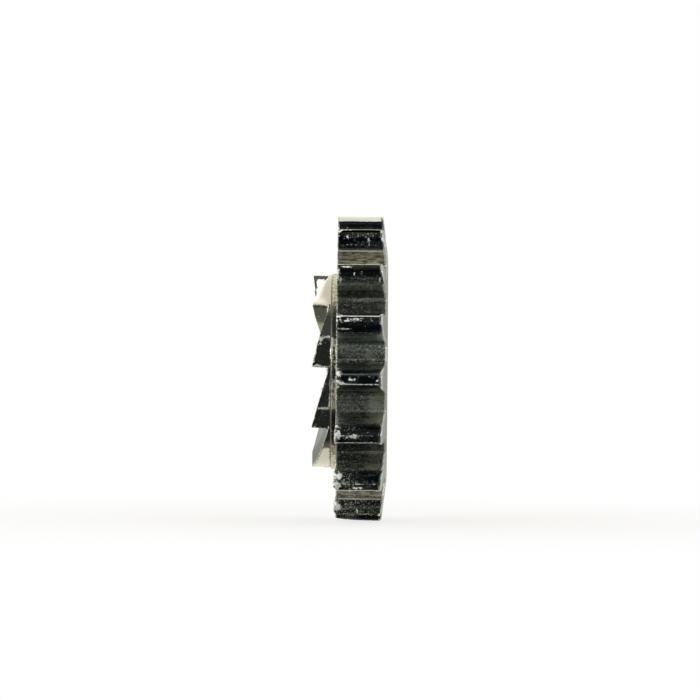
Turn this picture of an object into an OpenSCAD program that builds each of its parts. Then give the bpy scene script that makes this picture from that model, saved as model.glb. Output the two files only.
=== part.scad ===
// Winding pinion of a small watch: one turned and cut piece of hardened steel.
// A spur gear stands round a plain bore, and saw teeth for one-way winding are cut in its inner face.
// The bore lies along X. The flat outer face is at x = 0 and the saw teeth point towards -X.
// Sizes are in millimetres and angles in degrees.

/* [Gear] */
// Diameter over the tips of the gear teeth
gear_tip_d = 3.00; // [2.80:0.01:3.40]
// Diameter of the circle that touches the floors of the tooth gaps
gear_root_d = 2.37; // [2.20:0.01:2.50]
// Width of the gear along the bore
gear_w = 0.495; // [0.35:0.005:0.90]
// Number of gear teeth
gear_teeth = 16; // [15:1:18]
// Width of the flat land on the tip of a gear tooth
tip_land = 0.077; // [0.050:0.001:0.100]
// Thickness of a gear tooth where its rounded crown begins
tooth_w = 0.192; // [0.160:0.002:0.210]
// Thickness of a gear tooth at the floor of the gaps
root_w = 0.264; // [0.240:0.002:0.280]
// Height of the rounded crown of a gear tooth
crown_h = 0.100; // [0.070:0.002:0.120]
// Radius of the fillet between a tooth's flank and the floor of the gap
gap_fillet_r = 0.045; // [0.030:0.001:0.050]
// Angle of the nearest gear tooth below the horizontal
gear_turn = 4; // [0:0.5:22]

/* [Outer face] */
// Diameter of the flat part of the outer face
face_flat_d = 2.18; // [2.00:0.01:2.40]
// How far the outer face slopes back at the tooth tips
face_drop = 0.050; // [0.020:0.002:0.080]
// Bevel of the tooth tips at the outer face
outer_bevel = 0.028; // [0.005:0.001:0.040]
// Bevel of the tooth tips at the inner face
inner_bevel = 0.010; // [0.004:0.001:0.020]

/* [Ratchet] */
// Outside diameter of the ring of saw teeth
ratchet_d = 1.90; // [1.60:0.01:2.10]
// Number of saw teeth
ratchet_teeth = 9; // [8:1:12]
// Rise of a ramp from one root line to the next, at the outside diameter
ratchet_rise = 0.168; // [0.120:0.002:0.220]
// Lean of the steep face of a saw tooth
ratchet_lean = 4; // [1:0.5:8]
// Radius of the hollow at the foot of a steep face
ratchet_root_r = 0.040; // [0.020:0.002:0.060]
// Angle of the nearest steep face above the horizontal
ratchet_turn = 2; // [0:0.5:40]

/* [Collar] */
// Diameter of the collar between the gear and the saw teeth
collar_d = 1.925; // [1.60:0.005:2.10]
// Length of the collar along the bore
collar_w = 0.075; // [0.030:0.005:0.150]

/* [Bore] */
// Diameter of the bore, which turns on the winding stem
bore_d = 0.90; // [0.70:0.01:1.10]
// Bevel of each mouth of the bore
bore_bevel = 0.030; // [0.010:0.002:0.060]

/* [Hidden] */
$fn = 96;

// Overlap that lets a cut run clear of the face that it opens
clear = 0.05;
// Straight steps in each curved stretch of an outline
fillet_steps = 6;
crown_steps = 6;
hollow_steps = 6;

gear_tip_r = gear_tip_d / 2;
gear_root_r = gear_root_d / 2;
gear_pitch = 360 / gear_teeth;
ratchet_r = ratchet_d / 2;
ratchet_pitch = 360 / ratchet_teeth;
bore_r = bore_d / 2;

// Planes along the bore, counted from the outer face
inner_face = gear_w;
root_plane = inner_face + collar_w;
overall_w = root_plane + ratchet_rise;
teeth_bevel_h = overall_w + clear - root_plane - bore_bevel;

// A point on a gear tooth, given by its distance from the middle of the tooth and its height
// above the axis, in the frame of the gap beside it: the middle of the gap lies along +Y
function beside_gap(half_w, height) = [
    height * sin(gear_pitch / 2) - half_w * cos(gear_pitch / 2),
    height * cos(gear_pitch / 2) + half_w * sin(gear_pitch / 2)
];

// Heading from one point to another, measured from +Y towards +X
function heading(from, to) = atan2(to[0] - from[0], to[1] - from[1]);

// Point at a heading and distance from a centre
function polar(centre, dist, turn) = centre + dist * [sin(turn), cos(turn)];

// The same outline seen in a mirror that stands on the Y axis
function mirrored(points) = [for (i = [len(points) - 1:-1:0]) [-points[i][0], points[i][1]]];

crown_foot = beside_gap(tooth_w / 2, gear_tip_r - crown_h);
crown_top = beside_gap(tip_land / 2, sqrt(pow(gear_tip_r, 2) - pow(tip_land / 2, 2)));

// The flank is a straight line, and the fillet below it touches both the flank and the flat floor
flank_root = beside_gap(root_w / 2, gear_root_r);
flank_heading = heading(flank_root, crown_foot);
fillet_rise = gear_root_r + gap_fillet_r * (1 - sin(flank_heading)) - flank_root[1];
fillet_centre = [
    flank_root[0] + fillet_rise * tan(flank_heading) - gap_fillet_r * cos(flank_heading),
    gear_root_r + gap_fillet_r
];

// The crown is the arc that leaves the flank without a corner and ends at the tip land
crown_bend = heading(crown_foot, crown_top) - flank_heading;
crown_r = norm(crown_top - crown_foot) / (2 * sin(crown_bend));

function fillet_arc() = [
    for (i = [0:fillet_steps])
        polar(fillet_centre, gap_fillet_r, 180 + (flank_heading - 90) * i / fillet_steps)
];

function crown_arc() = [
    for (i = [0:crown_steps])
        let (turn = flank_heading + 2 * crown_bend * i / crown_steps)
        crown_foot + crown_r * [cos(flank_heading) - cos(turn), sin(turn) - sin(flank_heading)]
];

// Half of the outline of one gap, from its floor to a point outside the tip circle
function half_gap() = concat(fillet_arc(), crown_arc(), [crown_top * (1 + clear / gear_tip_r * 2)]);

// One gap between two gear teeth, cut through the whole width
module gear_gap() {
    translate([0, 0, -clear])
        linear_extrude(gear_w + 2 * clear)
            polygon(concat(half_gap(), mirrored(half_gap())));
}

// Turned shape of the gear, with the outer face sloping back towards the tooth tips
module gear_blank() {
    rotate_extrude()
        polygon([
            [0, 0],
            [face_flat_d / 2, 0],
            [gear_tip_r - outer_bevel, face_drop],
            [gear_tip_r, face_drop + outer_bevel],
            [gear_tip_r, gear_w - inner_bevel],
            [gear_tip_r - inner_bevel, gear_w],
            [0, gear_w]
        ]);
}

module gear() {
    difference() {
        gear_blank();
        for (i = [0:gear_teeth - 1])
            rotate(180 - gear_turn + gear_pitch * (i + 0.5)) gear_gap();
    }
}

// Slope of a ramp: it climbs by ratchet_rise over one pitch at the outside diameter
ramp_slope = atan(ratchet_rise / (ratchet_r * sin(ratchet_pitch)));
// The hollow joins the steep face to the ramp and touches both
hollow_corner = 90 + ratchet_lean - ramp_slope;
hollow_reach = ratchet_root_r / sin(hollow_corner / 2);
hollow_centre = hollow_reach * [cos(ramp_slope + hollow_corner / 2), sin(ramp_slope + hollow_corner / 2)];
cut_h = ratchet_rise + 2 * clear;

function hollow_arc() = [
    for (i = [0:hollow_steps])
        let (turn = 180 + ratchet_lean + (90 + ramp_slope - ratchet_lean) * i / hollow_steps)
        hollow_centre + ratchet_root_r * [cos(turn), sin(turn)]
];

// One notch of the ratchet. Its root line is a radius, so the ramp and the steep face both
// run towards the axis and the teeth grow lower inwards
module ratchet_notch() {
    mirror([1, 0, 0]) rotate([90, 0, 0])
        linear_extrude(ratchet_r + clear)
            polygon(concat(
                [[-cut_h * tan(ratchet_lean), cut_h]],
                hollow_arc(),
                [[2 * ratchet_r, 2 * ratchet_r * tan(ramp_slope)], [2 * ratchet_r, cut_h + ratchet_r]]
            ));
}

module ratchet() {
    difference() {
        cylinder(h = ratchet_rise + clear / 2, r = ratchet_r);
        for (i = [0:ratchet_teeth - 1])
            rotate(ratchet_turn + ratchet_pitch * i) ratchet_notch();
    }
}

// Round hole with a bevel at the outer face and another that trims the inner ends of the saw teeth
module stem_bore() {
    translate([0, 0, -clear]) cylinder(h = overall_w + 2 * clear, r = bore_r);
    translate([0, 0, -clear])
        cylinder(h = bore_bevel + clear, r1 = bore_r + bore_bevel + clear, r2 = bore_r);
    translate([0, 0, root_plane + bore_bevel])
        cylinder(h = teeth_bevel_h, r1 = bore_r, r2 = bore_r + teeth_bevel_h);
}

// The whole pinion, standing on its outer face with the bore along Z
module upright_pinion() {
    difference() {
        union() {
            gear();
            translate([0, 0, inner_face - clear]) cylinder(h = collar_w + clear, r = collar_d / 2);
            translate([0, 0, root_plane]) ratchet();
        }
        stem_bore();
    }
}

module winding_pinion() {
    color("#8d9089") rotate([0, -90, 0]) upright_pinion();
}

winding_pinion();
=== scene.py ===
import math
from types import SimpleNamespace

import bpy
import numpy as np
from mathutils import Matrix, Vector, noise


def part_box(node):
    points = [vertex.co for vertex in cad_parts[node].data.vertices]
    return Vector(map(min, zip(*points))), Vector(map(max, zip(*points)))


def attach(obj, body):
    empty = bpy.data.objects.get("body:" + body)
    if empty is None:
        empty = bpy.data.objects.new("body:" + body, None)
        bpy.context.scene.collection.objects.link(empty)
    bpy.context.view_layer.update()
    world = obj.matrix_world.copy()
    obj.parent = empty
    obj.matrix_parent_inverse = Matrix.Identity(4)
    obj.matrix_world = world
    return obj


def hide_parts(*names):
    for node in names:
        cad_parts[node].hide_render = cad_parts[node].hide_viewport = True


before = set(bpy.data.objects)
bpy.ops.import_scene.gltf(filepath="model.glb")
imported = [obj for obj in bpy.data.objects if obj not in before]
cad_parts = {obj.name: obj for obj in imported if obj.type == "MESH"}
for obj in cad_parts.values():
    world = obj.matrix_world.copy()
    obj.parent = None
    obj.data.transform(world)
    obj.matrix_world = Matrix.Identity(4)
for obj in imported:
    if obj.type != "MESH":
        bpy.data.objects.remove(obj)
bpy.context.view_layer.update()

# Every size below is in millimetres and every angle in degrees, as in the CAD source.
# Angles round the bore are counted downwards from the side that faces the camera.
# Depths are counted along the bore from the flat middle of the outer face.
MM = 0.001

# Gear
GEAR_TEETH = 16
GEAR_TURN = 4.0
TIP_R = 1.5
GEAR_W = 0.495
ROOT_R = 1.185
TIP_LAND = 0.077
TOOTH_W = 0.192
ROOT_W = 0.264
CROWN_H = 0.100
GAP_FILLET_R = 0.045
FACE_FLAT_R = 1.09
FACE_DROP = 0.050
FACE_SLOPE = FACE_DROP / (TIP_R - FACE_FLAT_R)
# Each flank bulges like an arc that bends by this angle
FLANK_BEND = 11.0
# Radius from which the rows of points on the outer and on the inner face bend towards the teeth's outline
OUTER_BEND_R, INNER_BEND_R = 1.13, 1.12

# Collar, ratchet and bore
COLLAR_R = 0.9625
COLLAR_W = 0.050
COLLAR_END = GEAR_W + COLLAR_W
ROOT_PLANE = GEAR_W + 0.075
RATCHET_TEETH = 9
RATCHET_TURN = -2.0
RATCHET_R = 0.95
RATCHET_RISE = 0.168
RATCHET_LEAN = 4.0
HOLLOW_R = 0.022
BORE_R = 0.45
BORE_BEVEL = 0.030
# Saw teeth by number, counted downwards from the one whose root line is nearest the camera
BOTTOM_SAW, BACK_SAW, TOP_SAW, UPPER_SAW = 1, 5, 6, 7
# Crowning of the saw teeth's end surfaces as a share of their height, and that of the bottom one
CROWNING, BOTTOM_CROWNING = 0.04, 0.19
# The ring of saw teeth and its collar run a little out of true. They lie low, and the ring is turned by
# these angles at these places. The drop fades out over the inner face between two radii
RING_DROP = 0.024
RING_SHIFTS = ((-125, 0), (-83, 2), (-43, 0.7), (-3, 0), (37, -2.2), (77, 4), (117, 0))
DROP_FADE_R = (1.10, 0.98)

# Rounding of the edges
EDGE_R = 0.007
TIP_EDGE_R = 0.026
RATCHET_EDGE_R = 0.007

# Columns of the mesh grid: a whole number for each gear tooth and for each saw tooth
GEAR_COLUMNS = 54
HOLLOW_STEPS, RAMP_STEPS, SAW_TIP_STEPS, STEEP_STEPS = 12, 54, 6, 24
STEEP_START = HOLLOW_STEPS + RAMP_STEPS
RATCHET_COLUMNS = STEEP_START + SAW_TIP_STEPS + STEEP_STEPS
COLUMNS = GEAR_TEETH * GEAR_COLUMNS
assert COLUMNS == RATCHET_TEETH * RATCHET_COLUMNS
# Rows over a rounded edge
EDGE_STEPS = 4

# In the tables below a gear tooth goes by its number: 0 is nearest the camera, and numbers grow
# downwards. Places on a tooth are measured sideways from its middle, positive downwards.

# Ends of the gear teeth that wear has rounded off at the inner face: tooth, place, width, length, depth
WORN = (
    (-4, 0.01, 0.05, 0.035, 0.018), (-3, -0.02, 0.045, 0.03, 0.015), (-2, -0.04, 0.04, 0.025, 0.018),
    (-2, 0.06, 0.02, 0.04, 0.02), (-1, -0.045, 0.03, 0.06, 0.03), (-1, 0.03, 0.02, 0.03, 0.012),
    (0, -0.065, 0.035, 0.06, 0.035), (0, 0.02, 0.022, 0.045, 0.02), (0, 0.075, 0.02, 0.03, 0.012),
    (1, 0, 0.035, 0.06, 0.038), (1, -0.08, 0.018, 0.03, 0.015), (2, -0.05, 0.04, 0.09, 0.06),
    (2, 0.045, 0.025, 0.06, 0.04), (3, 0.01, 0.045, 0.06, 0.045), (4, 0.03, 0.04, 0.035, 0.024),
    (4, -0.05, 0.12, 0.48, 0.028), (5, -0.03, 0.04, 0.03, 0.018), (6, 0.04, 0.045, 0.05, 0.03),
    (7, -0.02, 0.04, 0.035, 0.02), (8, 0.03, 0.05, 0.04, 0.022),
)
# Lips that were rolled over the inner face, in the same order
LIPS = (
    (1, 0, 0.08, 0.05, 0.014), (2, 0, 0.1, 0.06, 0.026), (3, 0, 0.1, 0.06, 0.024), (4, 0, 0.08, 0.05, 0.012),
)
# Rounding of the same kind at the outer face
WORN_OUTSIDE = (
    (-3, 0, 0.1, 0.03, 0.01), (-2, 0, 0.1, 0.035, 0.012), (-1, 0, 0.1, 0.025, 0.008),
    (0, 0, 0.1, 0.015, 0.005), (3, 0.03, 0.1, 0.02, 0.006), (5, 0, 0.1, 0.02, 0.008),
)
# A flank that is turned out of place: angle below the horizontal, half width and turn
TURNED_FLANK = (51.5, 3, 1.1)
# Radii between which the wear, and the turn of the flank, grow from nothing to their full size
WEAR_R, TURN_R = (1.28, 1.42), (1.22, 1.36)
# Ripples of the tooth surfaces: how many there are in a millimetre, and their height
RIPPLES = ((14, 0.0012), (45, 0.0006))
# How far the rippled surfaces are lowered, so that the ripples hardly stand above the solid
RIPPLE_SINK = 0.0012

# Brightness of the painted highlight lines on the edges of each tooth, shown as rubbed metal: upper edge of
# the land, lower edge, feet of the crown
EDGE_SHINE = {
    -4: (0.8, 0.5, 0.1), -3: (1.1, 0.2, 0.4), -2: (0.95, 0.1, 0.1), -1: (1.1, 0.2, 0.5),
    0: (0.35, 0.74, 0.1), 1: (0.55, 0.72, 0.1), 2: (0.55, 1.2, 0.25), 3: (0, 0, 0),
}
OTHER_SHINE = (0.6, 0.6, 0.3)
# Two more painted highlight lines: tooth, the first column and the one after the last, and brightness
RUBBED_LINES = ((-4, 30, 34, 1.3), (0, 4, 5, 0.5))
# Painted reflected light lines along a flank, close under the crown: tooth and column
CREASES = ((-3, 40), (3, 15))
# Where the painted dark reflection of the crowns reaches down to such a line: angle below the horizontal and
# half width, and the radius where it ends
CREASED_CROWNS = ((-59.5, 5), (66.5, 5))
CREASE_R = 1.345
# Lands painted darker still, as dark reflection: angle below the horizontal, half width and share
DARK_LANDS = ((50, 2.0, 1.0), (-63.5, 2.2, 1.0), (-41, 2.2, 0.85))

# Spots and specks of the tables below lie outside this radius
SPOTTED_R = 1.3
# Rubbed and chipped spots: tooth, place, distance from the inner face, half width and half length
SCUFFS = (
    (-6, 0.03, 0.03, 0.02, 0.05), (-4, 0.055, 0.047, 0.012, 0.02), (-3, -0.032, 0.066, 0.012, 0.055),
    (-3, 0.005, 0.015, 0.03, 0.015), (-3, 0.072, 0.098, 0.01, 0.012), (-3, 0.06, 0.011, 0.01, 0.012),
    (-3, 0.084, 0.302, 0.01, 0.01), (-2, -0.004, 0.072, 0.008, 0.06), (-2, 0.063, 0.01, 0.041, 0.014),
    (-2, 0.094, 0.034, 0.01, 0.012), (-2, 0.094, 0.41, 0.01, 0.012), (-2, 0.069, 0.169, 0.007, 0.007),
    (-1, -0.035, 0.014, 0.018, 0.033), (-1, 0.008, 0.117, 0.01, 0.032), (-1, -0.008, 0.19, 0.008, 0.06),
    (-1, 0.006, 0.03, 0.012, 0.024), (-1, 0.016, 0.009, 0.015, 0.012), (-1, 0.08, 0.07, 0.006, 0.055),
    (0, -0.071, 0.023, 0.025, 0.038), (0, 0.008, 0.014, 0.021, 0.027), (0, -0.007, 0.157, 0.011, 0.038),
    (0, 0.031, 0.043, 0.01, 0.038), (0, 0.067, 0.014, 0.016, 0.012), (0, 0.002, 0.396, 0.01, 0.008),
    (1, -0.1, 0.007, 0.01, 0.019), (1, -0.034, 0.018, 0.032, 0.029), (1, -0.028, 0.157, 0.018, 0.053),
    (2, -0.082, 0.025, 0.021, 0.043), (2, 0.002, 0.021, 0.036, 0.026), (2, 0.025, 0.204, 0.014, 0.048),
    (3, -0.081, 0.021, 0.02, 0.029), (3, -0.064, 0.207, 0.01, 0.014), (5, 0.02, 0.03, 0.03, 0.04),
    (7, -0.03, 0.02, 0.03, 0.03),
)
# Finely speckled areas, given as the scuffed spots are
SPECKLED = (
    (-6, 0, 0.2, 0.06, 0.15), (-3, 0.056, 0.23, 0.022, 0.26), (-2, 0.092, 0.25, 0.014, 0.25),
    (-1, 0.01, 0.14, 0.02, 0.11), (0, 0.04, 0.08, 0.02, 0.08), (1, -0.02, 0.14, 0.03, 0.1),
    (1, 0.032, 0.24, 0.01, 0.22), (1, -0.09, 0.15, 0.02, 0.15), (2, -0.067, 0.131, 0.03, 0.08),
    (2, -0.055, 0.125, 0.06, 0.11), (2, 0.02, 0.2, 0.02, 0.07), (2, -0.04, 0.12, 0.05, 0.15),
    (3, -0.081, 0.124, 0.04, 0.08), (3, -0.045, 0.16, 0.15, 0.48), (4, -0.1, 0.11, 0.048, 0.13),
    (4, -0.09, 0.36, 0.012, 0.04), (6, 0, 0.2, 0.06, 0.15),
)
# Spots on the wall of the ring: angle below the horizontal, depth, and half size in each
RING_SCUFFS = ((18.5, 0.561, 4.0, 0.008), (-18.5, 0.645, 2.6, 0.018))

# Each pair in the next tables is an angle below the horizontal and the value there. Beyond the first
# and the last angle the value stays the same.
# Painted light and shade of the tooth gaps' flanks and floors: their lightness by angle round the gear
GAP_GAIN = (
    (-64, 1.2), (-61, 1.15), (-58.7, 1.2), (-57.9, 2.2), (-57, 2.2), (-54, 1.3),
    (-45, 2.2), (-37, 4.4), (-36, 1.5), (-33, 1.0), (-30, 0.75), (-25, 0.65), (-18, 3.2), (-12, 3.2),
    (-7, 0.8), (4, 0.85), (11, 1.0), (17, 1.3), (22, 1.9), (30, 2.2), (38, 0.9), (49, 1.0), (63, 1.2),
    (65, 2.3), (70, 2.3), (73, 1.2),
)
# Share of olive painted reflection on some flanks
OLIVE = ((-64, 0), (-61, 1), (-57, 1), (-54, 0), (62, 0), (65, 1), (70, 1), (73, 0))
# Lightness of the painted reflection on the collar, by angle round the bore
COLLAR_CREAM = (
    (-180, 0.5), (-80, 0.7), (-43, 0.5), (-40, 0.15), (-22, 0.15), (-19, 0.62), (-4, 0.62), (0, 0.35),
    (7, 0.45), (10, 0.75), (21, 0.75), (24, 0.3), (38, 0.32), (48, 0.5), (90, 0.7), (180, 0.5),
)
# Painted highlight along the saw teeth's outer edge, by angle
LIP_SHINE = (
    (-180, 0.6), (-48, 0.3), (-43, 0.8), (-40, 0.2), (-20, 0.3), (-14, 0.9), (-3, 1.1), (0, 0.1),
    (20, 0.2), (28, 0.7), (36, 0.9), (40, 0.1), (75, 0.2), (90, 0.6),
)
# Angle from a root line of the saw teeth to the edge of the steep face before the next one, where a painted
# highlight lies
STEEP_EDGE = 39.1

# A range has two ends, and each end is the angle where there is nothing and the one where it is full.
# Part of the ring's wall near its upper end with a painted pale reflection, and the wall darker near its
# lower end
PALE_WALL = ((-84, -78), (-42, -47))
LOW_STAIN = ((72, 79), (98, 90))
# Darkening of the foot of the wall, and dulled glancing reflection on the gear: both go on to the unseen side
FOOT_STAIN_START = (46, 52)
DULL_START = (57, 62)
DULL_LANDS_ABOVE = -57
# Even speckling of the wall and of the gaps: how far up and down it reaches, and how strong it is
WALL_SPECKLE, GAP_SPECKLE = (41, 0.52), (50, 0.55)


def spaced(first, last, count):
    """Even values from first to last, without the last."""
    return np.linspace(first, last, count, endpoint=False)


def wrapped(angle):
    """The same angle in radians, within half a turn of zero."""
    return (angle + math.pi) % (2 * math.pi) - math.pi


def smooth(start, end, value):
    """Rises softly from 0 at start to 1 at end."""
    share = np.clip((value - start) / (end - start), 0.0, 1.0)
    return share * share * (3 - 2 * share)


def by_angle(table, degrees):
    """Values of a table between the angles that it gives."""
    return np.interp(degrees, *zip(*table))


def within(ends, degrees):
    """1 inside a range and 0 outside it, softly at both ends."""
    (start, full_start), (end, full_end) = ends
    return smooth(start, full_start, degrees) * smooth(end, full_end, degrees)


def face_depth(radius):
    """How far the outer face lies behind its flat middle at a radius."""
    return np.maximum(0, np.asarray(radius) - FACE_FLAT_R) * FACE_SLOPE


# What a point on the gear's outline lies on
PLAIN, CROWN_FOOT, LAND_EDGE = 0, 1, 2


def half_tooth():
    """Outline from the middle of a gap to the middle of the next tooth, in the frame of the gap.

    Each point has its zone: 0 on the floor, 0.1 on the fillet, 0.3 to 0.6 up the flank,
    0.65 to 0.9 over the crown and 1 on the land. The third value says what edge it lies on.
    """
    pitch = math.radians(360 / GEAR_TEETH)

    def beside_gap(half_w, height):
        turned = pitch / 2
        return np.array([height * math.sin(turned) - half_w * math.cos(turned),
                         height * math.cos(turned) + half_w * math.sin(turned)])

    def heading(start, end):
        return math.atan2(end[0] - start[0], end[1] - start[1])

    foot = beside_gap(TOOTH_W / 2, TIP_R - CROWN_H)
    top = beside_gap(TIP_LAND / 2, math.sqrt(TIP_R ** 2 - (TIP_LAND / 2) ** 2))
    root = beside_gap(ROOT_W / 2, ROOT_R)
    start = heading(root, foot)
    rise = ROOT_R + GAP_FILLET_R * (1 - math.sin(start)) - root[1]
    centre_x = root[0] + rise * math.tan(start) - GAP_FILLET_R * math.cos(start)
    centre = np.array([centre_x, ROOT_R + GAP_FILLET_R])
    flank_foot = centre + GAP_FILLET_R * np.array([math.cos(start), -math.sin(start)])
    bend = heading(foot, top) - start
    crown_r = np.linalg.norm(top - foot) / (2 * math.sin(bend))
    middle = beside_gap(0, TIP_R)

    floor_steps, fillet_steps, flank_steps, crown_steps, land_steps = 5, 5, 6, 8, 3
    points = []
    for share in spaced(0, 1, floor_steps):
        points.append((np.array([centre[0] * share, ROOT_R]), 0.0, PLAIN))
    for angle in spaced(math.pi, start + math.pi / 2, fillet_steps):
        points.append((centre + GAP_FILLET_R * np.array([math.sin(angle), math.cos(angle)]), 0.1, PLAIN))
    bulge = np.linalg.norm(foot - flank_foot) * math.tan(math.radians(FLANK_BEND) / 4) / 2
    outwards = np.array([-math.cos(start), math.sin(start)])
    for share in spaced(0, 1, flank_steps):
        straight = flank_foot + (foot - flank_foot) * share
        points.append((straight + outwards * bulge * 4 * share * (1 - share), 0.3 + 0.3 * share, PLAIN))
    for share in spaced(0, 1, crown_steps):
        now = start + 2 * bend * share
        arc = np.array([math.cos(start) - math.cos(now), math.sin(now) - math.sin(start)])
        points.append((foot + crown_r * arc, 0.65 + 0.25 * share, PLAIN if share else CROWN_FOOT))
    for share in spaced(0, 1, land_steps):
        points.append((top + (middle - top) * share, 1.0, PLAIN if share else LAND_EDGE))
    points.append((middle, 1.0, PLAIN))
    assert 2 * (len(points) - 1) == GEAR_COLUMNS
    return zip(*points)


def gear_outline():
    """Points of the gear's outline with their outward normals, angles, zones and marks.

    A tooth's columns run from the middle of the gap above it to the middle of the gap below it.
    """
    points, zones, edges = half_tooth()
    pitch = math.radians(360 / GEAR_TEETH)
    angles = [math.atan2(point[0], point[1]) for point in points]
    radii = [np.linalg.norm(point) for point in points]
    one_angle = np.array(angles + [pitch - angle for angle in angles[-2:0:-1]])
    first = math.radians(GEAR_TURN) - pitch / 2
    angle = np.concatenate([first + pitch * tooth + one_angle for tooth in range(GEAR_TEETH)])
    radius = np.tile(radii + radii[-2:0:-1], GEAR_TEETH)
    flat = np.stack([radius * np.cos(angle), radius * np.sin(angle)], axis=1)
    along = np.roll(flat, -1, axis=0) - np.roll(flat, 1, axis=0)
    normal = np.stack([along[:, 1], -along[:, 0]], axis=1)
    normal /= np.linalg.norm(normal, axis=1)[:, None]

    upper, lower = np.array(edges), np.array(edges[-2:0:-1])
    # Painted highlight lines on the tooth edges, and painted reflected light lines close under the crowns
    shine, crease = [], np.zeros(COLUMNS)
    for tooth in range(GEAR_TEETH):
        above, below, feet = EDGE_SHINE.get(tooth, EDGE_SHINE.get(tooth - GEAR_TEETH, OTHER_SHINE))
        shine += [np.choose(upper, (0, feet, above)), np.choose(lower, (0, feet, below))]
    shine = np.concatenate(shine)
    for tooth, start, end, brightness in RUBBED_LINES:
        first_column = tooth % GEAR_TEETH * GEAR_COLUMNS
        shine[first_column + start:first_column + end] = brightness
    for tooth, column in CREASES:
        crease[tooth % GEAR_TEETH * GEAR_COLUMNS + column] = 1
    return SimpleNamespace(flat=flat, normal=normal, angle=angle, shine=shine, crease=crease,
                           zone=np.tile(zones + zones[-2:0:-1], GEAR_TEETH))


def ratchet_profile(radius):
    """Angle and height above the root plane of the saw teeth's end surface at one radius."""
    pitch = math.radians(360 / RATCHET_TEETH)
    slope = math.atan(RATCHET_RISE / (RATCHET_R * math.sin(pitch)))
    lean = math.radians(RATCHET_LEAN)
    corner = math.pi / 2 + lean - slope
    reach = HOLLOW_R / math.sin(corner / 2)
    centre = reach * np.array([math.cos(slope + corner / 2), math.sin(slope + corner / 2)])

    def on_hollow(turn):
        across, height = centre + HOLLOW_R * np.array([math.cos(turn), math.sin(turn)])
        return math.asin(across / radius), height

    def ramp_height(angle):
        return radius * math.sin(angle) * math.tan(slope)

    def steep_angle(height):
        return pitch - math.asin(height * math.tan(lean) / radius)

    # The tip is where the ramp meets the steep face, which a few rounds of trial settle
    tip_angle = pitch
    for _ in range(12):
        tip_height = ramp_height(tip_angle)
        tip_angle = steep_angle(tip_height)

    first, last = math.pi + lean, 1.5 * math.pi + slope
    hollow = [on_hollow(turn) for turn in spaced(first, last, HOLLOW_STEPS)]
    hollow_top = hollow[0][1]
    # The rounding of the tip, smaller where the tooth is low
    tip_r = min(RATCHET_EDGE_R * 1.4, 0.3 * (tip_height - hollow_top))
    ramp_end = tip_angle - tip_r * math.cos(slope) / radius
    ramp = [(angle, ramp_height(angle)) for angle in spaced(on_hollow(last)[0], ramp_end, RAMP_STEPS)]
    steep_top = tip_height - tip_r * math.cos(lean)
    before = np.array([ramp_end, ramp_height(ramp_end)])
    corner_point = np.array([tip_angle, tip_height])
    after = np.array([steep_angle(steep_top), steep_top])
    tip = [tuple((1 - t) ** 2 * before + 2 * t * (1 - t) * corner_point + t ** 2 * after)
           for t in spaced(0, 1, SAW_TIP_STEPS)]
    steep = [(steep_angle(height), height) for height in spaced(steep_top, hollow_top, STEEP_STEPS)]
    one = np.array(hollow + ramp + tip + steep)
    turns = math.radians(RATCHET_TURN) + pitch * np.arange(RATCHET_TEETH)
    angle = np.concatenate([turn + one[:, 0] for turn in turns])
    return angle, np.tile(one[:, 1], RATCHET_TEETH)


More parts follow.
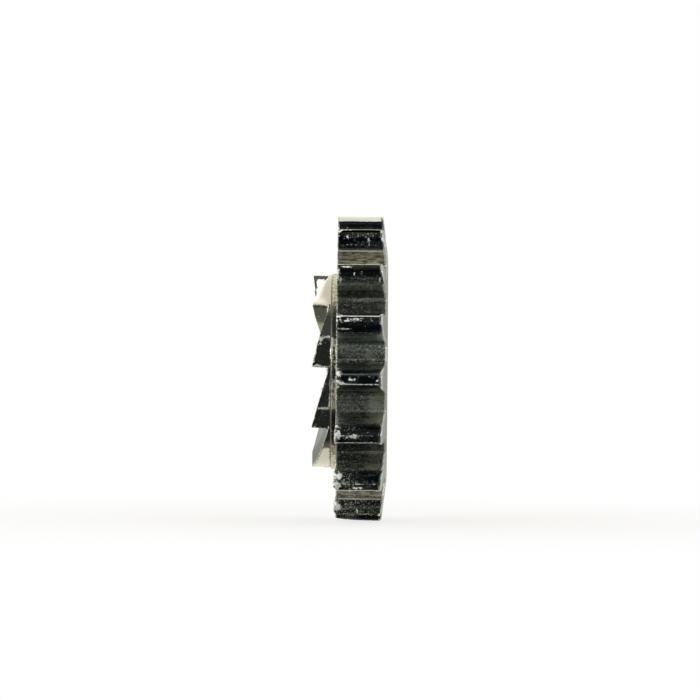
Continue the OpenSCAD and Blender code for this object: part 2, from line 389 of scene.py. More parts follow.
class Rows:
    """Closed loops of points, from the bore's outer mouth right round the surface and back to it.

    Every point has its radius, angle and depth, and marks that say what it lies on: the zone on the gear's
    outline, a tooth's side, a rounded edge, the collar, the groove behind it, the wall of the ring and how
    far up it is, or an end of a saw tooth (ramp). The two line marks hold painted highlights on the tooth
    edges and painted reflected light lines close under the crowns.
    """

    def __init__(self):
        self.gear = gear_outline()
        self.even = self.gear.angle[0] + 2 * math.pi * np.arange(COLUMNS) / COLUMNS
        self.rows = []
        self.add_tooth_surfaces(self.add_outer_face())
        self.add_inner_face()
        self.add_collar()
        self.add_ring_wall()
        self.add_saw_ends()

    def stacked(self, name):
        """One value of all points, or 0 where a row doesn't have it."""
        return np.stack([row.get(name, np.zeros(COLUMNS)) for row in self.rows])

    def add(self, radius, angle, depth, **marks):
        """One more row. A single number stands for all its points."""
        values = {"radius": radius, "angle": angle, "depth": depth, **marks}
        self.rows.append({name: np.full(COLUMNS, value, dtype=float) for name, value in values.items()})

    def polar(self, points):
        """Radius and angle of flat points beside the gear's outline."""
        angle = np.arctan2(points[:, 1], points[:, 0])
        near = self.gear.angle
        return np.linalg.norm(points, axis=1), near + (angle - near + math.pi) % (2 * math.pi) - math.pi

    def add_outer_face(self):
        """Bevel of the bore, face, and the edge of the teeth, which is rounder towards their tips.

        Returns the depths at which the tooth surfaces start.
        """
        gear, even = self.gear, self.even
        for share in (0.15, 0.85, 1.1, 1.5):
            self.add(BORE_R + BORE_BEVEL * share, even, BORE_BEVEL * max(0, 1 - share), edge=0.5)
        for radius in (0.6, 0.74, 0.88, 1.00, FACE_FLAT_R - 0.02, FACE_FLAT_R - 0.004,
                       FACE_FLAT_R + 0.004, FACE_FLAT_R + 0.02, OUTER_BEND_R):
            self.add(radius, even, face_depth(radius))
        edge = EDGE_R + (TIP_EDGE_R - EDGE_R) * np.clip((gear.zone - 0.6) / 0.3, 0, 1)
        rim = gear.flat - gear.normal * edge[:, None]
        rim_r, rim_angle = self.polar(rim)
        for share in (0.25, 0.5, 0.72, 0.88, 0.96):
            radius = OUTER_BEND_R + (rim_r - OUTER_BEND_R) * share
            self.add(radius, even + (rim_angle - even) * share, face_depth(radius), zone=gear.zone * share)
        for step in range(EDGE_STEPS + 1):
            turn = math.pi / 2 * (1 - step / EDGE_STEPS)
            radius, angle = self.polar(rim + gear.normal * (edge * math.cos(turn))[:, None])
            self.add(radius, angle, face_depth(rim_r) + edge * (1 - math.sin(turn)), edge=1.0, zone=gear.zone)
        return face_depth(rim_r) + edge

    def add_tooth_surfaces(self, start):
        """Rows along the bore, closer together towards the inner face."""
        gear = self.gear
        radius, angle = self.polar(gear.flat)
        shares = np.concatenate([np.linspace(0, 0.7, 26), np.linspace(0.7, 1, 25)[1:]])
        for share in shares[1:-1]:
            self.add(radius, angle, start + (GEAR_W - EDGE_R - start) * share, zone=gear.zone, side=1.0,
                     shine=gear.shine, crease=gear.crease)

    def add_inner_face(self):
        """Rounded edge of the teeth, and the face from their outline down to the collar."""
        gear, even = self.gear, self.even
        rim = gear.flat - gear.normal * EDGE_R
        for step in range(EDGE_STEPS + 1):
            turn = math.pi / 2 * step / EDGE_STEPS
            radius, angle = self.polar(rim + gear.normal * (EDGE_R * math.cos(turn)))
            self.add(radius, angle, GEAR_W - EDGE_R * (1 - math.sin(turn)), edge=1.0, zone=gear.zone)
        rim_r, rim_angle = self.polar(rim)
        for share in (0.06, 0.2, 0.45, 0.7, 0.9, 1.0):
            self.add(rim_r + (INNER_BEND_R - rim_r) * share, rim_angle + (even - rim_angle) * share, GEAR_W,
                     zone=gear.zone * (1 - share))
        for radius in (1.05, COLLAR_R + 0.02, COLLAR_R + 0.006):
            self.add(radius, even, GEAR_W)

    def add_collar(self):
        """Collar and the groove between it and the ring of saw teeth."""
        self.add(COLLAR_R + 0.0015, self.even, GEAR_W + 0.0015, collar=1.0)
        for away in (0.006, 0.015, 0.028, 0.04):
            self.add(COLLAR_R, self.even, GEAR_W + away, collar=1.0)
        self.add(COLLAR_R - 0.001, self.even, COLLAR_END - 0.003, collar=1.0)
        self.add(COLLAR_R - 0.004, self.even, COLLAR_END, collar=1.0, groove=1.0)
        self.add(RATCHET_R + 0.004, self.even, COLLAR_END + 0.003, collar=0.6, wall=0.4, groove=1.0)
        self.add(RATCHET_R, self.even, COLLAR_END + 0.006, collar=0.2, wall=0.8, groove=1.0)
        self.add(RATCHET_R, self.even, COLLAR_END + 0.014, wall=1.0)

    def add_ring_wall(self):
        """Outside of the saw teeth and the rounded edge above it."""
        angle, height = ratchet_profile(RATCHET_R)
        across, rise = np.gradient(angle) * RATCHET_R, np.gradient(height)
        length = np.hypot(across, rise)
        out_across, out_up = -rise / length, across / length
        base = ROOT_PLANE + 0.004
        top_angle = angle - out_across * RATCHET_EDGE_R / RATCHET_R
        top = ROOT_PLANE + height - out_up * RATCHET_EDGE_R
        for share in (0.0, 0.08, 0.2, 0.35, 0.5, 0.65, 0.8, 0.92, 1.0):
            self.add(RATCHET_R, self.even + (top_angle - self.even) * share, base + (top - base) * share,
                     wall=1.0, climb=share, edge=0.85 if share > 0.9 else 0.0)
        for step in range(1, EDGE_STEPS + 1):
            turn = math.pi / 2 * step / EDGE_STEPS
            lift = RATCHET_EDGE_R * (1 - math.sin(turn))
            self.add(RATCHET_R - RATCHET_EDGE_R * (1 - math.cos(turn)), angle - out_across * lift / RATCHET_R,
                     ROOT_PLANE + height - out_up * lift, wall=1.0, climb=1.0, edge=1.0)

    def add_saw_ends(self):
        """End surfaces of the saw teeth, inwards to the bevel of the bore, and the bore's own wall."""
        radii = np.linspace(BORE_R - 0.0001, RATCHET_R, 60)
        angles, heights = (np.stack(values) for values in zip(*map(ratchet_profile, radii)))
        column = np.arange(COLUMNS)

        def end_surface(radius):
            step = (radius - radii[0]) / (radii[1] - radii[0])
            i = np.clip(step.astype(int), 0, len(radii) - 2)
            share = step - i
            return (angles[i, column] * (1 - share) + angles[i + 1, column] * share,
                    heights[i, column] * (1 - share) + heights[i + 1, column] * share)

        mouth = np.full(COLUMNS, BORE_R)
        for radius in np.linspace(BORE_R, 0.62, 60):
            _, height = ratchet_profile(radius)
            mouth = np.where(height > BORE_BEVEL + (radius - BORE_R), radius, mouth)
        outer = RATCHET_R - RATCHET_EDGE_R
        crowning = np.where(column // RATCHET_COLUMNS == BOTTOM_SAW, BOTTOM_CROWNING, CROWNING)
        for share in (0.02, 0.06, 0.13, 0.22, 0.32, 0.42, 0.52, 0.62, 0.72, 0.81, 0.89, 0.95, 1.0):
            radius = outer + (mouth - outer) * share
            angle, height = end_surface(radius)
            crowned = height * (1 + crowning * np.interp(radius, (0.56, 0.8, outer), (0, 1, 0)))
            self.add(radius, angle, ROOT_PLANE + crowned, ramp=1.0, edge=1.0 if share == 1.0 else 0.0)

        angle, height = end_surface(np.full(COLUMNS, BORE_R))
        lip = ROOT_PLANE + np.minimum(height, BORE_BEVEL)
        self.add(BORE_R, angle, lip, edge=1.0)
        for share in (0.03, 0.1, 0.25, 0.42, 0.6, 0.78, 0.92, 0.985):
            self.add(BORE_R, angle + (self.even - angle) * share, lip + (BORE_BEVEL - lip) * share)


def beside_tooth(angle, tooth, sideways):
    """Distance round the gear's tip circle of each point from a place on a tooth."""
    middle = math.radians(GEAR_TURN) + math.radians(360 / GEAR_TEETH) * tooth + sideways / TIP_R
    return wrapped(angle - middle) * TIP_R


def falloff(spots, angle, from_inner):
    """How deep inside a spot each point lies: 0.5 on its outline and 1 in its middle."""
    deepest = np.zeros(angle.shape)
    for tooth, sideways, away, half_width, half_length in spots:
        across = beside_tooth(angle, tooth, sideways) / half_width
        deepest = np.maximum(deepest, 1 - np.hypot(across, (from_inner - away) / half_length) / 2)
    return deepest


def rounding(worn, angle, from_end):
    """How far the end of a tooth is pulled inwards, given each point's distance from that end."""
    pull = np.zeros(angle.shape)
    for tooth, sideways, width, length, depth in worn:
        inside = 1 - np.clip(from_end / length, 0, 1)
        across = beside_tooth(angle, tooth, sideways) / width
        pull += depth * np.exp(-across ** 2) * (1 - np.sqrt(1 - inside ** 2))
    return pull


def wave(points, scale, seed):
    """Smooth noise from -1 to 1 at each point, slower along the bore."""
    offset = Vector((seed * 17.3, seed * 5.1, -seed * 9.7))
    stretched = points * np.array([0.25, 1, 1]) * scale
    heights = [noise.noise(Vector(point) + offset) for point in stretched.reshape(-1, 3)]
    return np.array(heights).reshape(points.shape[:-1])


def worn_places(rows):
    """Where every point lies once the ring is shifted and the teeth are worn, and what it is near."""
    at = SimpleNamespace(**{name: rows.stacked(name) for name in ("radius", "angle", "depth")})
    degrees = np.degrees(wrapped(at.angle))
    at.from_steep = (degrees - RATCHET_TURN) % (360 / RATCHET_TEETH) - STEEP_EDGE
    at.angle = at.angle + np.radians(by_angle(RING_SHIFTS, degrees)) * (at.radius < RATCHET_R + 0.001)
    at.gear = (at.radius > INNER_BEND_R) & (at.depth < GEAR_W + 0.001)
    at.from_inner, at.from_outer = GEAR_W - at.depth, at.depth - face_depth(at.radius)

    near_tip = smooth(*WEAR_R, at.radius) * at.gear
    worn = rounding(WORN, at.angle, at.from_inner)
    middle, half_width, turn = TURNED_FLANK
    away = (np.degrees(wrapped(at.angle)) - middle) / half_width
    at.angle = at.angle + math.radians(turn) * np.exp(-away ** 2) * smooth(*TURN_R, at.radius) * at.gear
    at.radius = at.radius - near_tip * (worn + rounding(WORN_OUTSIDE, at.angle, at.from_outer))
    at.depth = at.depth + near_tip * rounding(LIPS, at.angle, at.from_inner)
    at.degrees = np.degrees(wrapped(at.angle))
    return at


def placed_points(at, side):
    """Every point in the frame, with the ring a little low and the tooth surfaces rippled."""
    sine, cosine = np.sin(at.angle), np.cos(at.angle)
    points = np.stack([-at.depth, -at.radius * cosine, -at.radius * sine], axis=2)
    # On the saw teeth's ends the drop also fades out, towards the bore
    ring = smooth(*DROP_FADE_R, at.radius) * (at.depth > GEAR_W - 0.001)
    ring = ring * np.where(at.depth > ROOT_PLANE + 0.0001, smooth(BORE_R, 0.8, at.radius), 1)
    points[:, :, 2] -= RING_DROP * ring
    ripple = sum(wave(points, scale, seed) * height for seed, (scale, height) in enumerate(RIPPLES, 1))
    ripple = ripple * side - RIPPLE_SINK * side
    points[:, :, 1] -= ripple * cosine
    points[:, :, 2] -= ripple * sine
    return points


def find_marks(rows, at):
    """Marks that tell the steel what each point lies on, most of them from 0 to 1."""
    kept = ("zone", "side", "collar", "wall", "ramp", "shine", "crease", "groove")
    marks = {name: rows.stacked(name) for name in kept}
    zone, side, wall, ramp = (marks[name] for name in ("zone", "side", "wall", "ramp"))
    edge, degrees = rows.stacked("edge"), at.degrees
    saw, column = np.arange(COLUMNS) // RATCHET_COLUMNS, np.arange(COLUMNS) % RATCHET_COLUMNS
    steep = (column >= STEEP_START) * ramp

    # Painted dark reflection on the crowns and lands, and where it is darker still
    creased = sum(np.abs(degrees - middle) < half for middle, half in CREASED_CROWNS) * (at.radius > CREASE_R)
    dark_lands = sum(share * (np.abs(degrees - middle) < half) for middle, half, share in DARK_LANDS)
    dark_lands = dark_lands * (zone > 0.95) * side
    marks["film"] = np.maximum(smooth(0.6, 0.68, zone), creased) * side
    marks["deep"] = 0.7 * creased * side + dark_lands

    # Rubbed spots, and speckled areas on teeth, gaps and the ring
    spotted = at.gear & (at.radius > SPOTTED_R)
    marks["scuff"] = falloff(SCUFFS, at.angle, at.from_inner) * spotted
    for turn, away, half_turn, half_away in RING_SCUFFS:
        spot = 1 - np.hypot((degrees - turn) / half_turn, (at.depth - away) / half_away) / 2
        marks["scuff"] = np.maximum(marks["scuff"], spot * wall)
    salt = falloff(SPECKLED, at.angle, at.from_inner) * spotted
    for place, (reach, strength) in ((wall, WALL_SPECKLE), (side * (zone < 0.62), GAP_SPECKLE)):
        salt = np.maximum(salt, strength * place * (np.abs(degrees) < reach))
    marks["salt"] = salt

    # Tooth gaps: painted light and shade by angle, olive painted reflection on some flanks, and lighter
    # towards the outer face. Collar: painted reflection, lighter and darker by angle round the bore
    marks["gain"] = by_angle(GAP_GAIN, degrees)
    marks["olive"] = by_angle(OLIVE, degrees)
    marks["outward"] = smooth(0.24, 0.1, at.from_outer) * side
    marks["cream"] = by_angle(COLLAR_CREAM, degrees)

    # Painted highlight along the outer edge of the ring and beside the steep faces, rubbed inner ends of the
    # gear teeth, and dirt beside the ring's edge
    lip = np.maximum(wall * edge, wall * np.exp(-(at.from_steep / 0.7) ** 2) * (degrees < 40))
    marks["lip"] = lip * by_angle(LIP_SHINE, degrees)
    marks["end"] = np.exp(-(at.from_inner / 0.01) ** 2) * at.gear * (side + edge)
    marks["rim"] = np.exp(-((at.radius - RATCHET_R) / 0.02) ** 2) * ramp + wall * edge

    # Dark outline along the outer edge of the top steep face, and the ring's wall darker at its foot and near
    # its lower end
    far_tip = np.exp(-(np.maximum(column - STEEP_START - 4, 0) / 6) ** 2) * smooth(0.66, 0.9, at.radius)
    marks["outline"] = np.maximum(far_tip, smooth(0.905, 0.925, at.radius)) * steep * (saw == TOP_SAW)
    foot = smooth(0.58, 0.56, at.depth) * smooth(*FOOT_STAIN_START, degrees)
    marks["outline"] += wall * (0.46 * foot + 0.42 * within(LOW_STAIN, degrees))
    # Painted shade on two faces of the saw teeth, darker towards the bore on the upper one, and painted pale
    # reflection on the back one and on the ring's wall near its upper end
    marks["shade"] = (0.4 + 0.3 * smooth(0.88, 0.66, at.radius)) * steep * (saw == UPPER_SAW)
    marks["shade"] += 0.67 * (saw == BOTTOM_SAW) * (column < STEEP_START) * ramp
    pale_wall = smooth(0.25, 0.9, rows.stacked("climb")) * within(PALE_WALL, degrees)
    marks["pale"] = pale_wall + 0.5 * (saw == BACK_SAW) * steep
    # Places that give little glancing reflection
    dull = np.maximum(smooth(*DULL_START, degrees), ramp)
    marks["dull"] = np.maximum(dull, dark_lands * (degrees < DULL_LANDS_ABOVE))
    return marks


def build_pinion():
    rows = Rows()
    at = worn_places(rows)
    points = placed_points(at, rows.stacked("side"))
    index = np.arange(at.radius.size).reshape(at.radius.shape)
    after_row = np.roll(index, -1, axis=0)
    corners = [index, after_row, np.roll(after_row, -1, axis=1), np.roll(index, -1, axis=1)]
    faces = np.stack(corners, axis=2).reshape(-1, 4)
    mesh = bpy.data.meshes.new("winding_pinion_finish")
    mesh.from_pydata((points.reshape(-1, 3) * MM).tolist(), [], faces.tolist())
    mesh.update()
    mesh.validate()
    for name, values in find_marks(rows, at).items():
        attribute = mesh.attributes.new(name, "FLOAT", "POINT")
        attribute.data.foreach_set("value", values.reshape(-1).astype(np.float32))
    for polygon in mesh.polygons:
        polygon.use_smooth = True
    piece = bpy.data.objects.new("winding_pinion_finish", mesh)
    bpy.context.scene.collection.objects.link(piece)
    weighted = piece.modifiers.new("weighted", "WEIGHTED_NORMAL")
    weighted.weight = 80
    return piece


class Graph:
    """Short calls for building a node tree. A value may be a number, a colour or a node's output."""

    def __init__(self, tree):
        self.tree = tree
        tree.nodes.clear()

    def node(self, kind, out=0, settings=None, **values):
        """An output of a new node, or the node itself. Inputs go by name, or by number as in i0."""
        made = self.tree.nodes.new("ShaderNode" + kind)
        for name, value in (settings or {}).items():
            setattr(made, name, value)
        for name, value in values.items():
            slot = made.inputs[int(name[1:]) if name[1:].isdigit() else name.replace("_", " ")]
            if isinstance(value, bpy.types.NodeSocket):
                self.tree.links.new(value, slot)
            else:
                slot.default_value = value
        return made if out is None else made.outputs[out]

    def math(self, operation, a, b=0.0, c=0.0):
        return self.node("Math", settings={"operation": operation}, i0=a, i1=b, i2=c)

    def times(self, a, b):
        return self.math("MULTIPLY", a, b)

    def minus(self, a, b):
        return self.math("SUBTRACT", a, b)

    def larger(self, a, b):
        return self.math("MAXIMUM", a, b)

    def plus(self, base, value, weight):
        """The base and so much of the value."""
        return self.math("MULTIPLY_ADD", value, weight, base)

    def vector(self, operation, a, b=(0, 0, 0), out=0):
        return self.node("VectorMath", out, settings={"operation": operation}, i0=a, i1=b)

    def blend(self, share, a, b):
        """From a to b, for numbers. The next two do it for vectors and for colours."""
        return self.node("Mix", 0, i0=share, i2=a, i3=b)

    def blend_vector(self, share, a, b):
        return self.node("Mix", 1, settings={"data_type": "VECTOR"}, i0=share, i4=a, i5=b)

    def mix(self, share, a, b):
        return self.node("Mix", 2, settings={"data_type": "RGBA"}, i0=share, i6=a, i7=b)

    def step(self, value, start, end, low=0.0, high=1.0):
        """Softly from low, where value is at start, to high, where it is at end."""
        return self.node("MapRange", settings={"interpolation_type": "SMOOTHSTEP"}, Value=value,
                         From_Min=start, From_Max=end, To_Min=low, To_Max=high)

    def noise(self, vector, scale, detail=2.0, roughness=0.5):
        """Noise from 0 to 1, with about this many waves over one unit of the vector."""
        return self.node("TexNoise", Vector=vector, Scale=scale, Detail=detail, Roughness=roughness)

    def mark(self, name):
        return self.node("Attribute", 2, settings={"attribute_name": name})

    def join(self, x, y, z):
        return self.node("CombineXYZ", X=x, Y=y, Z=z)

    def split(self, vector):
        return self.node("SeparateXYZ", out=None, i0=vector).outputs


# Colours of the turned faces and of clean steel, each between a darker and a lighter one
FACE_DARK, FACE_LIGHT = (0.32, 0.325, 0.315, 1), (0.46, 0.465, 0.45, 1)
CLEAN_DARK, CLEAN_LIGHT = (0.47, 0.49, 0.46, 1), (0.54, 0.56, 0.53, 1)
# The wall of the ring, the ends of the saw teeth, and the painted shade and the painted pale reflection on
# some of them
WALL, RAMP = (0.42, 0.425, 0.39, 1), (0.66, 0.66, 0.63, 1)
SHADED, PALE = (0.155, 0.165, 0.105, 1), (0.86, 0.86, 0.84, 1)
# The tooth gaps, and the collar between its dark colour and its painted reflection
OILY_DARK, OILY_LIGHT = (0.072, 0.084, 0.078, 1), (0.38, 0.395, 0.355, 1)
BAND_DARK, BAND_CREAM = (0.16, 0.17, 0.15, 1), (0.72, 0.7, 0.56, 1)
# The painted dark reflection on crowns and lands and the dust on it, the inner ends of the gear teeth, and
# the painted shade in the groove behind the collar
FILM, DEEP_FILM, DUST = (0.075, 0.09, 0.1, 1), (0.02, 0.022, 0.022, 1), (0.24, 0.27, 0.22, 1)
TOOTH_END, GROOVE = (0.12, 0.12, 0.1, 1), (0.1, 0.1, 0.08, 1)
# Specks, dirt, and the dark outline and darkening of the ring's wall; bare metal on the rubbed spots, which
# also paints highlight lines, and the painted reflected light lines under a crown
SPECKS, DIRT, STAIN = (0.52, 0.55, 0.48, 1), (0.13, 0.1, 0.06, 1), (0.05, 0.045, 0.035, 1)
BARE, BARE_LINE = (0.97, 0.965, 0.92, 1), (0.78, 0.73, 0.58, 1)
# The brightest that a tooth gap may be
GAP_LIMIT = (0.95, 0.95, 0.95)
# Tint of the glancing reflection, ordinary and dulled
CLEAR_TINT, DULL_TINT = (1, 1, 1, 1), (0.03, 0.03, 0.03, 1)
# Depth of the surface texture where its strength is 1
TEXTURE_H = 0.006
# The marks that the steel reads
MARKS = ("zone", "side", "collar", "wall", "ramp", "shine", "crease", "groove", "film", "deep", "scuff",
         "salt", "gain", "olive", "outward", "cream", "lip", "end", "rim", "outline", "shade", "pale", "dull")


def textures(tree, mark):
    """Grain of the steel, and the shares of what lies on it, for a node tree and its marks."""
    place = tree.node("VectorMath", settings={"operation": "SCALE"}, Vector=tree.node("TexCoord", 3),
                      Scale=1 / MM)
    x, y, z = tree.split(place)
    away = tree.math("SQRT", tree.plus(tree.times(z, z), y, y))
    sideways, upwards = tree.math("DIVIDE", y, away), tree.math("DIVIDE", z, away)
    round_bore = tree.join(x, away, tree.times(sideways, 0.06))
    from_bore = tree.join(tree.times(away, 0.05), sideways, upwards)
    along_bore = tree.join(tree.times(x, 0.05), y, z)
    grain = tree.blend_vector(mark.ramp, tree.blend_vector(mark.side, round_bore, along_bore), from_bore)

    look = SimpleNamespace(place=place)
    look.streaks = tree.noise(grain, 36, 3, 0.6)
    look.broad_streaks = tree.noise(grain, 11)
    look.gap_streaks = tree.noise(tree.join(tree.times(x, 0.14), y, z), 80, 3, 0.7)
    look.turned = tree.noise(tree.blend_vector(mark.ramp, round_bore, from_bore), 75, 3, 0.65)
    look.specks = tree.noise(place, 42, 2, 0.6)
    look.grit = tree.noise(place, 90, 1)
    look.rough_patch = tree.step(tree.noise(place, 8, 3, 0.6), 0.5, 0.6)

    jagged = tree.minus(tree.noise(place, 34, 4, 0.75), 0.5)

    def ragged(mark, raggedness, start, end):
        """Share of a mark, with a ragged outline."""
        return tree.step(tree.plus(mark, jagged, raggedness), start, end)

    # Rubbed inner ends of the teeth, and the painted highlight along the ring's edge
    rubbed = ragged(tree.larger(mark.lip, mark.end), 3.0, 0.8, 1.15)
    # Bare metal on rubbed spots, and painted highlight lines on the tooth edges
    look.bare = tree.larger(ragged(mark.scuff, 3.0, 0.52, 0.6), ragged(mark.shine, 1.8, 0.38, 0.78))
    look.bare = tree.larger(look.bare, tree.times(rubbed, 0.9))
    look.cream = ragged(mark.cream, 1.6, 0.35, 0.75)
    # Dark outline on the top steep face, and the ring's wall darker at its foot and near its lower end
    look.stain = ragged(mark.outline, 1.5, 0.35, 0.6)
    # Painted reflected light lines close under the crowns
    look.creased = ragged(mark.crease, 0.3, 0.7, 0.9)
    look.gap = tree.times(mark.side, tree.step(mark.zone, 0.62, 0.5))
    look.dusty = tree.times(tree.step(mark.salt, 0.3, 0.8), 0.3)
    grains = tree.plus(tree.noise(place, 62, 1), tree.minus(mark.salt, 0.6), 0.22)
    look.salted = tree.times(tree.step(grains, 0.58, 0.68), tree.step(mark.salt, 0.42, 0.6))
    dirt = tree.math("ADD", tree.noise(place, 24, 3, 0.65), tree.times(mark.rim, 0.1))
    dirt = tree.step(dirt, 0.52, 0.6)
    dirt = tree.times(dirt, tree.larger(tree.times(mark.collar, 0.8), tree.times(mark.rim, 0.8)))
    look.dirt = tree.times(dirt, tree.minus(1.0, mark.pale))
    return look


def gap_colour(tree, mark, look):
    """Tooth gaps: streaks, specks and bright grains in an oily film, painted light and shade by angle round
    the gear, and olive streaks of painted reflection on some flanks.
    """
    tone = tree.times(tree.step(look.specks, 0.42, 0.68), 0.22)
    tone = tree.plus(tone, tree.step(look.streaks, 0.35, 0.68), 0.44)
    tone = tree.plus(tone, tree.step(tree.noise(look.place, 64, 1), 0.6, 0.66), 0.95)
    tone = tree.times(tone, tree.step(look.broad_streaks, 0.25, 0.7, 0.55, 1.15))
    uneven = tree.step(tree.math("ADD", look.streaks, tree.minus(look.specks, 0.5)), 0.32, 0.72, 0.45, 1.35)
    lighter = tree.times(mark.outward, tree.step(tree.noise(look.place, 5, 1), 0.42, 0.6))
    lighter = tree.times(lighter, uneven)
    tone = tree.plus(tone, lighter, 0.86)
    tone = tree.times(tree.math("POWER", tree.larger(tone, 0.0), 1.35), 1.28)
    # Olive painted reflection on some flanks
    tone = tree.blend(mark.olive, tone, tree.step(look.gap_streaks, 0.38, 0.62, 0.0, 1.05))
    # Painted light and shade of the gaps by angle round the gear
    green = tree.times(mark.gain, tree.blend(mark.olive, 1.0, 0.92))
    blue = tree.times(mark.gain, tree.blend(tree.larger(mark.olive, tree.times(lighter, 0.7)), 1.0, 0.8))
    oily = tree.mix(tone, OILY_DARK, OILY_LIGHT)
    oily = tree.vector("MULTIPLY", oily, tree.join(mark.gain, green, blue))
    return tree.vector("MINIMUM", oily, GAP_LIMIT)


def steel_colour(tree, mark, look):
    """Colours in layers, from the steel itself to the bare spots, the painted highlights and the painted
    reflected lines.
    """
    face = tree.mix(tree.step(look.turned, 0.32, 0.68), FACE_DARK, FACE_LIGHT)
    clean = tree.mix(tree.step(look.specks, 0.4, 0.62), CLEAN_DARK, CLEAN_LIGHT)
    clean = tree.mix(tree.larger(tree.larger(mark.wall, mark.ramp), mark.side), face, clean)
    clean = tree.mix(mark.ramp, tree.mix(mark.wall, clean, WALL), RAMP)
    # Painted shade on some saw teeth, then painted pale reflection on the back one and on the top of the
    # ring's wall
    clean = tree.mix(mark.shade, clean, SHADED)
    clean = tree.mix(mark.pale, clean, PALE)
    # Painted dark reflection on crowns and lands, darker still on some, with dust over it
    coat = tree.mix(look.dusty, tree.mix(mark.deep, FILM, DEEP_FILM), DUST)
    # Collar between its dark colour and a painted reflection that is lighter and darker by angle round the
    # bore
    band = tree.mix(look.cream, BAND_DARK, BAND_CREAM)
    layers = ((look.gap, gap_colour(tree, mark, look)), (mark.film, coat), (mark.collar, band),
              (mark.end, TOOTH_END), (mark.groove, GROOVE), (look.salted, SPECKS), (look.dirt, DIRT),
              (look.stain, STAIN), (look.bare, BARE), (look.creased, BARE_LINE))
    colour = clean
    for share, layer in layers:
        colour = tree.mix(share, colour, layer)
    return colour


def steel_roughness(tree, mark, look):
    """Roughness in the same layers."""
    rough = tree.blend(look.gap, 0.24, tree.blend(mark.olive, 0.32, 0.42))
    film = tree.blend(look.dusty, tree.blend(look.rough_patch, 0.1, 0.22), 0.6)
    layers = ((mark.film, film), (mark.wall, 0.06), (mark.collar, tree.blend(look.cream, 0.14, 0.5)),
              (mark.ramp, 0.11))
    for share, layer in layers:
        rough = tree.blend(share, rough, layer)
    rough = tree.plus(rough, tree.minus(look.specks, 0.5), tree.blend(mark.film, 0.14, 0.05))
    rough = tree.blend(tree.times(look.salted, 0.8), rough, 0.5)
    return tree.larger(tree.blend(tree.larger(look.bare, look.creased), rough, 0.66), 0.06)


def steel_height(tree, mark, look):
    """Streaks, specks and grit, which are deep in the tooth gaps and shallow on the polished surfaces."""
    plain = tree.minus(1.0, tree.larger(mark.side, mark.collar))
    streaks = tree.blend(look.gap, tree.blend(plain, 0.3, tree.blend(mark.wall, 0.07, 0.01)), 1.2)
    specks = tree.blend(look.rough_patch, 0.04, tree.blend(plain, 0.55, tree.blend(mark.wall, 0.03, 0.01)))
    height = tree.plus(tree.times(look.streaks, streaks), look.specks, tree.blend(look.gap, specks, 0.9))
    return tree.plus(height, look.grit, tree.blend(look.bare, tree.blend(mark.collar, 0.02, 0.2), 0.8))


def steel():
    material = bpy.data.materials.new("hardened_steel")
    material.use_nodes = True
    tree = Graph(material.node_tree)
    mark = SimpleNamespace(**{name: tree.mark(name) for name in MARKS})
    look = textures(tree, mark)
    bump = tree.node("Bump", Height=steel_height(tree, mark, look), Strength=1.0, Distance=TEXTURE_H * MM)
    dulled = tree.times(mark.dull, tree.larger(mark.film, mark.shade))
    tint = tree.mix(dulled, CLEAR_TINT, DULL_TINT)
    surface = tree.node("BsdfPrincipled", Base_Color=steel_colour(tree, mark, look), Metallic=1.0,
                        Roughness=steel_roughness(tree, mark, look), Normal=bump, Specular_Tint=tint)
    tree.node("OutputMaterial", out=None, Surface=surface)
    return material


# The studio is a tent round the part. A direction in it has three numbers from -1 to 1: to the right,
# away from the camera and up.
# Heights in degrees of the narrow gaps between the dark cards in front
STRIPS = (41.0, -45.0)
# Panels behind, level with the part: where each fades in and out from side to side, and its colour
BACKDROP = ((-0.1, -0.14, -0.7, -0.9, (1.34, 1.39, 1.24, 1)),
            (0.12, 0.18, 0.5, 0.6, (0.42, 0.44, 0.39, 1)))
# The two sides: where each fades in, and its colour
SIDES = ((0.55, 0.75, (1.05, 1.04, 0.99, 1)), (-0.6, -0.8, (0.98, 0.98, 0.95, 1)))
# Direction of a small white card in front, below and to the left of the camera
CARD_WAY = (-0.167, -0.947, -0.275)
# Light of the tent at the part's level and above or below it, and of the card and the gaps in front
LEVEL_LIGHT, HIGH_LIGHT, FRONT_LIGHT = (1.0, 1.0, 0.97, 1), (1.3, 1.22, 1.05, 1), (2.2, 2.2, 2.1, 1)
# The dark cards, and the greyer one above them
CARDS, UPPER_CARD = (0.03, 0.036, 0.035, 1), (0.095, 0.103, 0.098, 1)


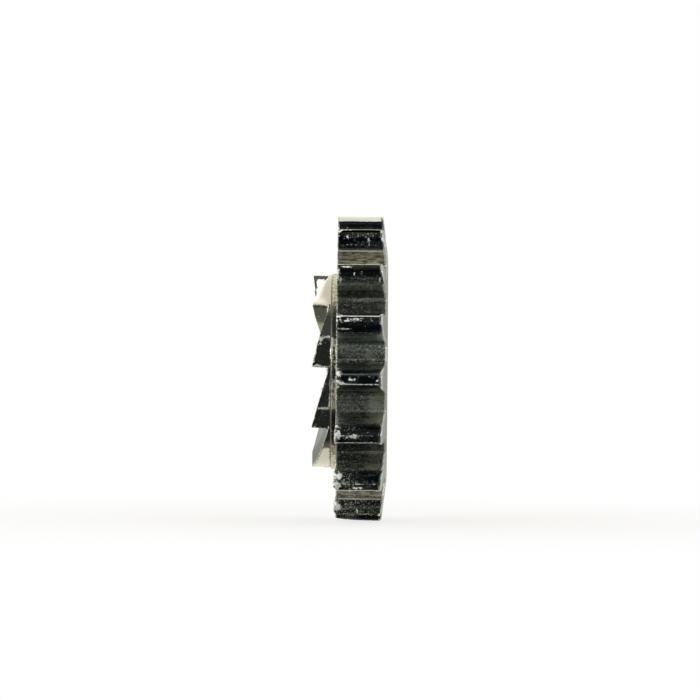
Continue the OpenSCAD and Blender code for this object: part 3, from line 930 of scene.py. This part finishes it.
def studio():
    """White for the camera. For the metal: bright behind, above and at both sides, dark in front."""
    world = bpy.data.worlds.new("studio")
    bpy.context.scene.world = world
    world.use_nodes = True
    tree = Graph(world.node_tree)
    x, y, z = tree.split(tree.node("TexCoord"))
    aside = tree.math("ABSOLUTE", x)
    behind = tree.plus(y, z, 0.19)
    height = tree.math("ARCTAN2", z, tree.times(y, -1))

    back = tree.larger(tree.step(behind, 0.045, 0.105), tree.step(behind, -0.2, 0.0, 0.0, 0.15))
    card = tree.step(tree.vector("DOT_PRODUCT", tree.join(x, y, z), CARD_WAY, out=1), 0.991, 0.997)
    bright = tree.larger(tree.larger(back, tree.step(aside, 0.45, 0.8)), card)
    for turn in STRIPS:
        band = tree.step(tree.math("ABSOLUTE", tree.minus(height, math.radians(turn))), 0.011, 0.004)
        bright = tree.larger(bright, tree.times(band, tree.step(aside, 0.35, 0.25)))

    glow = tree.mix(tree.step(tree.math("ABSOLUTE", z), 0.0, 0.35), LEVEL_LIGHT, HIGH_LIGHT)
    level_back = tree.step(y, 0.75, 0.9)
    for start, end, next_start, next_end, tint in BACKDROP:
        panel = tree.times(tree.step(x, start, end), tree.step(x, next_end, next_start))
        glow = tree.mix(tree.times(panel, level_back), glow, tint)
    for start, end, tint in SIDES:
        glow = tree.mix(tree.step(x, start, end), glow, tint)
    in_front = tree.times(tree.math("LESS_THAN", behind, -0.36), tree.step(aside, 0.45, 0.38))
    glow = tree.mix(in_front, glow, FRONT_LIGHT)
    dark = tree.mix(tree.step(height, math.radians(38), math.radians(46)), CARDS, UPPER_CARD)

    tent = tree.node("Background", Color=tree.mix(bright, dark, glow))
    seen = tree.node("Background", Color=(1, 1, 1, 1))
    both = tree.node("MixShader", i0=tree.node("LightPath"), i1=tent, i2=seen)
    tree.node("OutputWorld", out=None, Surface=both)


# Round lamps that face the part: name, place, width and power in watts
LAMPS = (("left", (-30, -4, 6), 24, 0.0013), ("right", (30, -2, 8), 24, 0.0012),
         ("front left", (-24, -30, 14), 6, 0.0036), ("front right", (24, -30, 10), 6, 0.002))


def lamp(name, place, width, power):
    data = bpy.data.lights.new(name, "AREA")
    data.shape = "DISK"
    data.size = width * MM
    data.energy = power
    light = bpy.data.objects.new(name, data)
    bpy.context.scene.collection.objects.link(light)
    light.location = Vector(place) * MM
    light.rotation_euler = Vector(place).to_track_quat("Z", "Y").to_euler()


# Half the side of the floor, and how far from the part its soft shadow begins to fade and ends
FLOOR_HALF = 250
SHADOW_START, SHADOW_END = 1, 8


def floor():
    half = FLOOR_HALF * MM
    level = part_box("winding_pinion")[0][2]
    mesh = bpy.data.meshes.new("floor")
    mesh.from_pydata([(-half, -half, level), (half, -half, level), (half, half, level), (-half, half, level)],
                     [], [(0, 1, 2, 3)])
    plane = bpy.data.objects.new("floor", mesh)
    bpy.context.scene.collection.objects.link(plane)
    material = bpy.data.materials.new("floor")
    material.use_nodes = True
    tree = Graph(material.node_tree)
    path = tree.node("LightPath", out=None).outputs
    away = tree.vector("LENGTH", tree.node("TexCoord", 3), out=1)
    white = tree.step(away, SHADOW_START * MM, SHADOW_END * MM, 0.7, 1.0)
    white = tree.times(path["Is Camera Ray"], white)
    diffuse = tree.node("BsdfDiffuse", Color=(0.85, 0.85, 0.84, 1))
    seen = tree.node("MixShader", i0=white, i1=diffuse, i2=tree.node("Emission"))
    mirrored = tree.node("MixShader", i0=path["Is Glossy Ray"], i1=seen, i2=tree.node("BsdfTransparent"))
    tree.node("OutputMaterial", out=None, Surface=mirrored)
    plane.data.materials.append(material)


# Camera: side of the photograph in pixels, its scale, and the pixel where the frame's origin lies
PHOTO = 700
PIXELS_PER_MM = 101.4
ORIGIN_X, ORIGIN_Y = 387.4, 369.2
# Distance of the camera, how far it is turned sideways and tilted, and the width of its sensor
CAMERA_AWAY = 46.0
YAW, ROLL = 0.35, 0.45
SENSOR = 36


def camera():
    data = bpy.data.cameras.new("camera")
    view = bpy.data.objects.new("camera", data)
    bpy.context.scene.collection.objects.link(view)
    bpy.context.scene.camera = view
    data.sensor_width = SENSOR
    data.lens = SENSOR * CAMERA_AWAY * PIXELS_PER_MM / PHOTO
    data.clip_start = 1 * MM
    data.clip_end = 10000 * MM
    side = (PHOTO / 2 - ORIGIN_X) / PIXELS_PER_MM
    up = (ORIGIN_Y - PHOTO / 2) / PIXELS_PER_MM
    turn = Matrix.Rotation(math.radians(YAW), 4, "Z") @ Matrix.Rotation(math.radians(90), 4, "X")
    turn = turn @ Matrix.Rotation(math.radians(ROLL), 4, "Z")
    right, above, back = (turn.to_3x3() @ Vector(way) for way in ((1, 0, 0), (0, 1, 0), (0, 0, 1)))
    target = (right * side + above * up) * MM
    view.matrix_world = Matrix.Translation(target + back * CAMERA_AWAY * MM) @ turn


pinion = build_pinion()
pinion.data.materials.append(steel())
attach(pinion, "root")
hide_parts("winding_pinion")
floor()
studio()
for name, place, width, power in LAMPS:
    lamp(name, place, width, power)
camera()
bpy.context.scene.view_settings.view_transform = "Standard"
